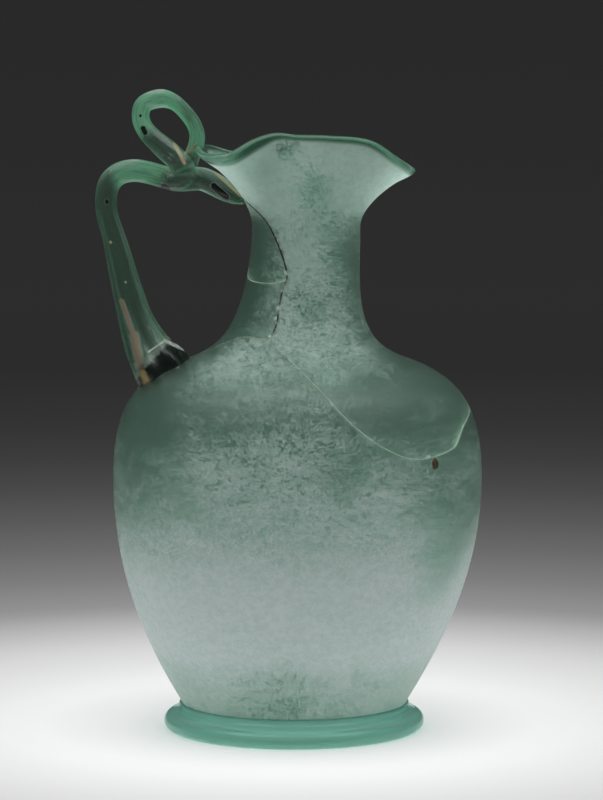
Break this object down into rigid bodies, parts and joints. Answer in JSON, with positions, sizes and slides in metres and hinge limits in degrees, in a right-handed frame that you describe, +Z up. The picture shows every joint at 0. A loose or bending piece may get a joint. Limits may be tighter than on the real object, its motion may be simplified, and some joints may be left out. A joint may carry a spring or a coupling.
{
  "type": "glass oinochoe",
  "caption": "Mended blue-green glass jug with a trefoil mouth, a looped handle and an applied foot ring.",
  "frame": {"origin": "middle of the whole jug's box in plan, at table level", "axes": "+Z up, +X towards the spout, the handle lies towards -X, -Y is the side seen in the picture"},
  "size_m": [0.1444, 0.138, 0.2402],
  "materials": {
    "weathered_glass": "satin",
    "foot_glass": "gloss",
    "handle_glass": "gloss",
    "dried_glue": "satin"
  },
  "bodies": {
    "root": {"body": "weathered_glass", "mouth_and_spout": "weathered_glass", "neck_upper_shard": "weathered_glass", "neck_lower_shard": "weathered_glass", "foot_ring": "foot_glass", "handle": "handle_glass", "glue_drop": "dried_glue"}
  },
  "joints": []
}
